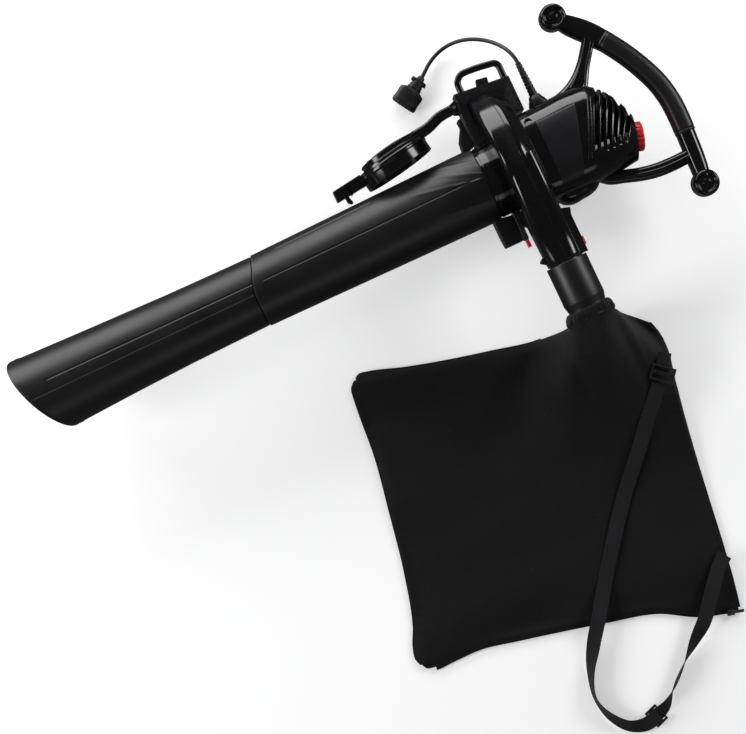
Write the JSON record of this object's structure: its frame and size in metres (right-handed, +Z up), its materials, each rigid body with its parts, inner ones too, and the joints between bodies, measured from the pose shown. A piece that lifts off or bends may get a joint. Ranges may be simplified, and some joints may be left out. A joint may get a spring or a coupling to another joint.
{
  "type": "leaf blower",
  "caption": "Corded garden blower in vacuum form, lying on its side: suction tube, snail fan housing, arc handle, hinged inlet cover, pigtail, and a cloth bag with a shoulder strap.",
  "frame": {"origin": "middle of the small flat land under the fan scroll, on which the blower rests as it lies on its side", "axes": "+X along the fan axis from the suction tube towards the motor and handle, +Y from the outlet towards the carry loop, +Z up from the surface it lies on"},
  "size_m": [1.1548, 1.1713, 0.237],
  "materials": {
    "gloss_black": "gloss",
    "matte_black": "matte",
    "panel_grey": "satin",
    "red_plastic": "satin",
    "rubber_black": "matte",
    "bag_cloth": "matte",
    "black_webbing": "matte",
    "steel": "satin",
    "zip_metal": "satin",
    "laminated_iron": "satin",
    "brass": "satin",
    "copper": "satin",
    "carbon": "matte"
  },
  "bodies": {
    "housing": {"fan_scroll_front": "gloss_black", "fan_scroll_rear": "gloss_black", "tube_latch_tower": "gloss_black", "bag_latch_channel": "gloss_black", "carry_bracket": "gloss_black", "carry_loop": "gloss_black", "motor_shell_near": "gloss_black", "motor_shell_far": "gloss_black", "handle_near": "gloss_black", "handle_far": "gloss_black", "handle_knob_upper": "gloss_black", "handle_knob_lower": "gloss_black", "handle_grip": "matte_black", "speed_switch": "matte_black", "motor_frame": "matte_black", "side_panel": "panel_grey", "cord_gland": "rubber_black", "strain_relief": "rubber_black", "cord": "rubber_black", "plug": "rubber_black", "tube_button_spring": "steel", "bag_button_spring": "steel", "cover_hinge_pin": "steel", "case_screw_front": "steel", "case_screw_rear": "steel", "front_bearing": "steel", "rear_bearing": "steel", "stator": "laminated_iron", "brush_holder_upper": "brass", "brush_holder_lower": "brass", "plug_blade_a": "brass", "plug_blade_b": "brass", "carbon_brush_upper": "carbon", "carbon_brush_lower": "carbon"},
    "rotor": {"impeller": "matte_black", "impeller_nut": "steel", "motor_shaft": "steel", "armature": "laminated_iron", "commutator": "copper"},
    "dial": {"speed_dial": "red_plastic", "dial_spindle": "matte_black"},
    "tube_button": {"tube_release_button": "red_plastic"},
    "bag_button": {"bag_release_button": "red_plastic"},
    "cover": {"inlet_cover": "gloss_black", "cover_latch": "gloss_black"},
    "upper_tube": {"upper_tube": "matte_black"},
    "lower_tube": {"lower_tube": "matte_black"},
    "bag_assembly": {"bag_tube": "matte_black", "bag_cuff": "bag_cloth", "bag": "bag_cloth", "zip_tape": "black_webbing", "shoulder_strap": "black_webbing", "strap_tail": "black_webbing", "strap_buckle": "matte_black", "strap_adjuster": "matte_black", "strap_anchor_upper": "black_webbing"},
    "zip_slider": {"zip_slider": "zip_metal"},
    "zip_pull": {"zip_pull": "zip_metal"}
  },
  "joints": [
    {"name": "impeller_spin", "type": "hinge", "parent": "housing", "child": "rotor", "pos_m": [0.015, -0.012, 0.11], "axis": [1, 0, 0], "continuous": true},
    {"name": "speed_dial_turn", "type": "hinge", "parent": "housing", "child": "dial", "pos_m": [0.206, -0.045, 0.11], "axis": [0.963, -0.2696, 0], "range_deg": [0, 120]},
    {"name": "tube_release_press", "type": "slide", "parent": "housing", "child": "tube_button", "axis": [0, 1, 0], "range_m": [0, 0.004], "stiffness_N_per_m": 600, "deforming": ["tube_button_spring"]},
    {"name": "bag_release_press", "type": "slide", "parent": "housing", "child": "bag_button", "axis": [-1, 0, 0], "range_m": [0, 0.003], "stiffness_N_per_m": 600, "deforming": ["bag_button_spring"]},
    {"name": "inlet_cover_swing", "type": "hinge", "parent": "housing", "child": "cover", "pos_m": [-0.035, 0.119, 0.11], "axis": [0, 0, 1], "range_deg": [-70, 0]},
    {"name": "upper_tube_pull", "type": "slide", "parent": "housing", "child": "upper_tube", "axis": [-1, 0, 0], "range_m": [0, 0.026]},
    {"name": "lower_tube_pull", "type": "slide", "parent": "upper_tube", "child": "lower_tube", "axis": [-1, 0, 0], "range_m": [0, 0.04]},
    {"name": "bag_tube_pull", "type": "slide", "parent": "housing", "child": "bag_assembly", "axis": [0, -1, 0], "range_m": [0, 0.028]},
    {"name": "zip_slide", "type": "slide", "parent": "bag_assembly", "child": "zip_slider", "axis": [-0.9703, 0.2419, 0], "range_m": [0, 0.44]},
    {"name": "zip_pull_swing", "type": "hinge", "parent": "zip_slider", "child": "zip_pull", "pos_m": [0.04096, -0.82158, 0.0066], "axis": [-0.2419, -0.9703, 0], "range_deg": [0, 100]}
  ]
}
